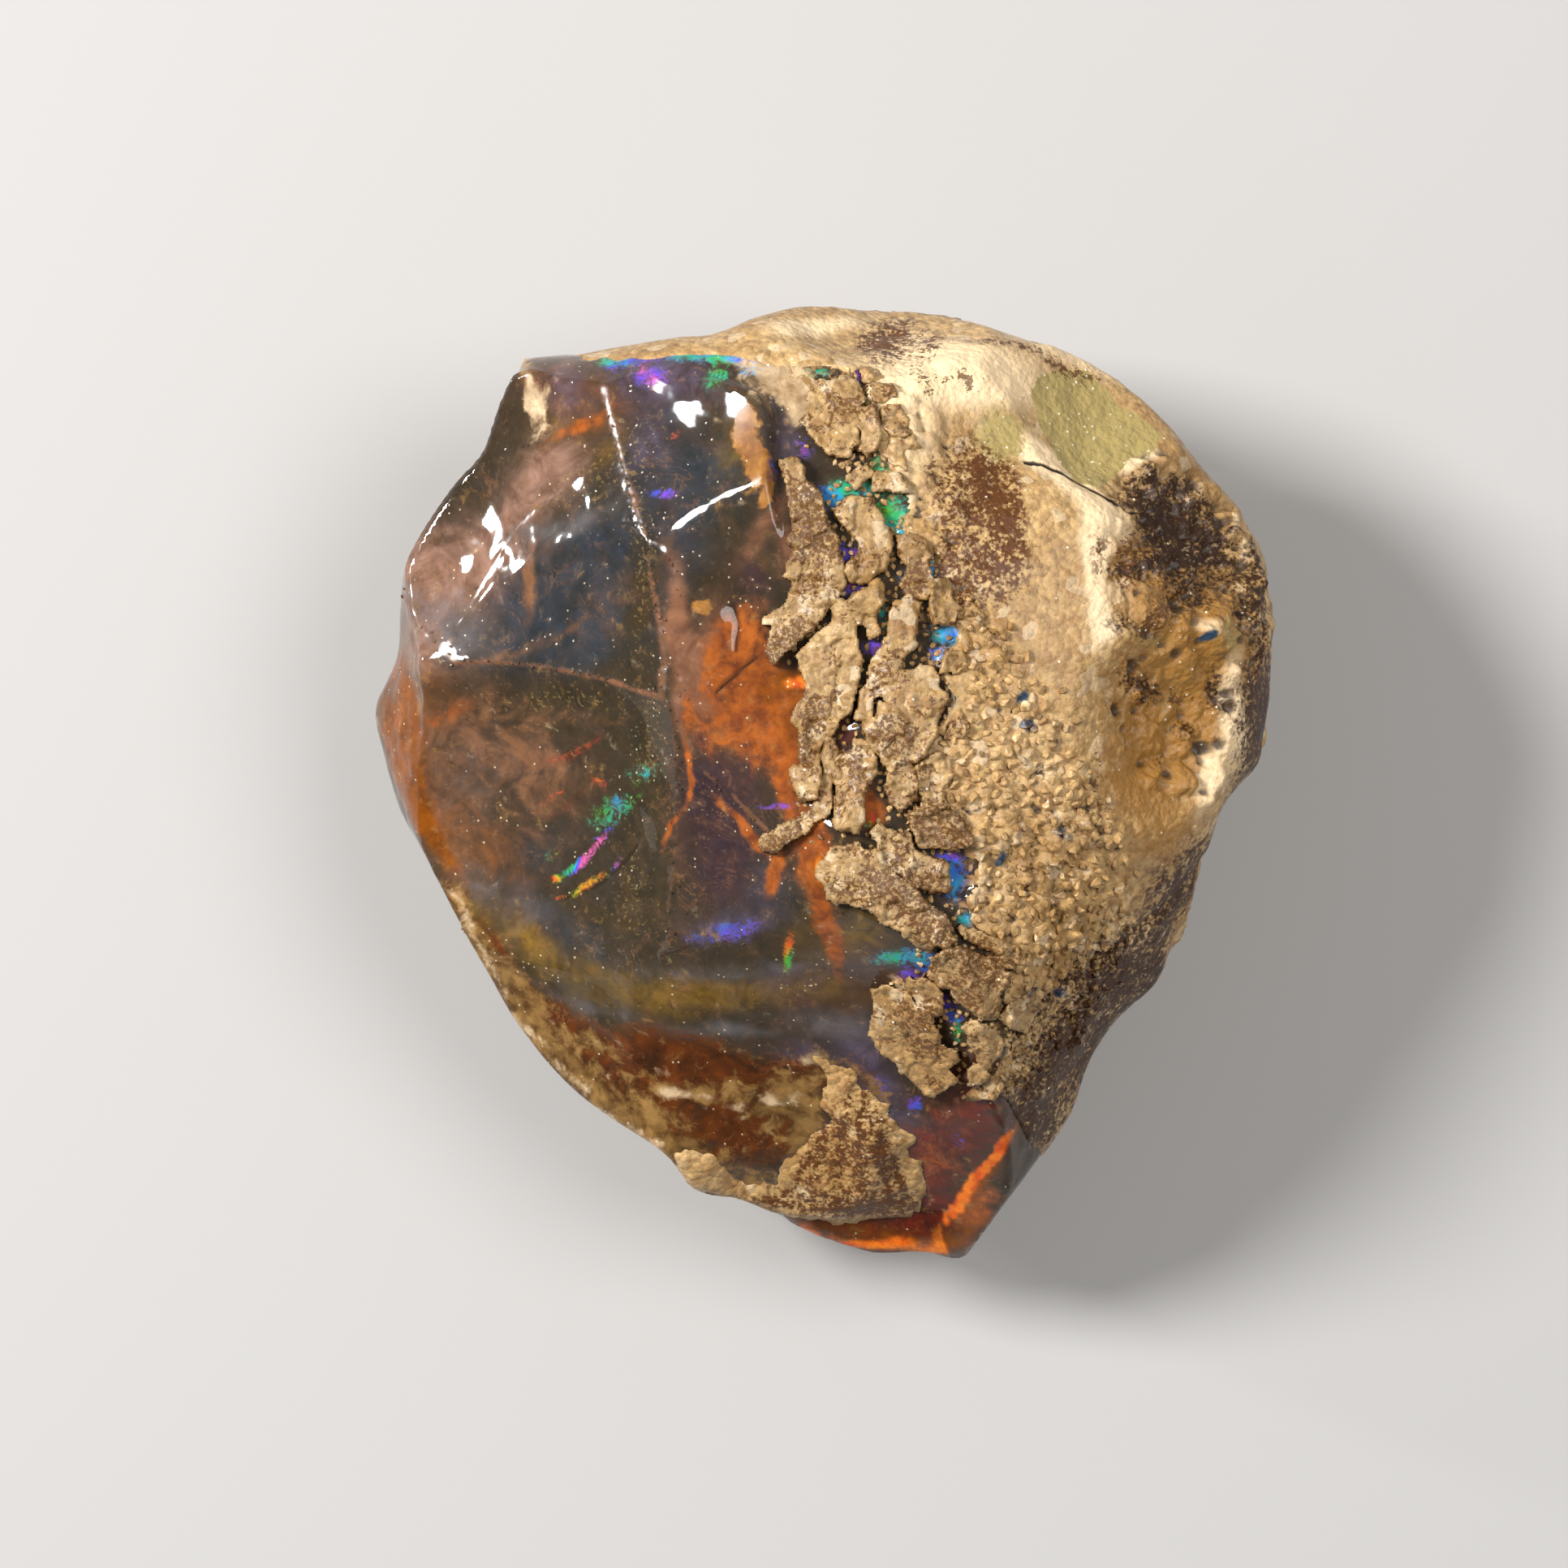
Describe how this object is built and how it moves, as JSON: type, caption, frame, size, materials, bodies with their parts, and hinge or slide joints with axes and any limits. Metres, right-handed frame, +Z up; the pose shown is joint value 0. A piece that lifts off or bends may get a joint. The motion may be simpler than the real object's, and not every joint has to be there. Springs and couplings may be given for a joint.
{
  "type": "rough ethiopian opal",
  "caption": "Rough precious opal in its tan host rock, one broken nodule lying on its underside with the glassy amber face up.",
  "frame": {"origin": "middle of the stone's box, on the surface it rests on", "axes": "+Z up out of the broken face, +Y to the top of the face, +X to the host rock's side"},
  "size_m": [0.0558, 0.0586, 0.0299],
  "materials": {
    "opal": "glassy, freshly broken",
    "host_rock": "weathered, slightly wet"
  },
  "bodies": {
    "root": {"rough_opal": "opal"}
  },
  "joints": []
}
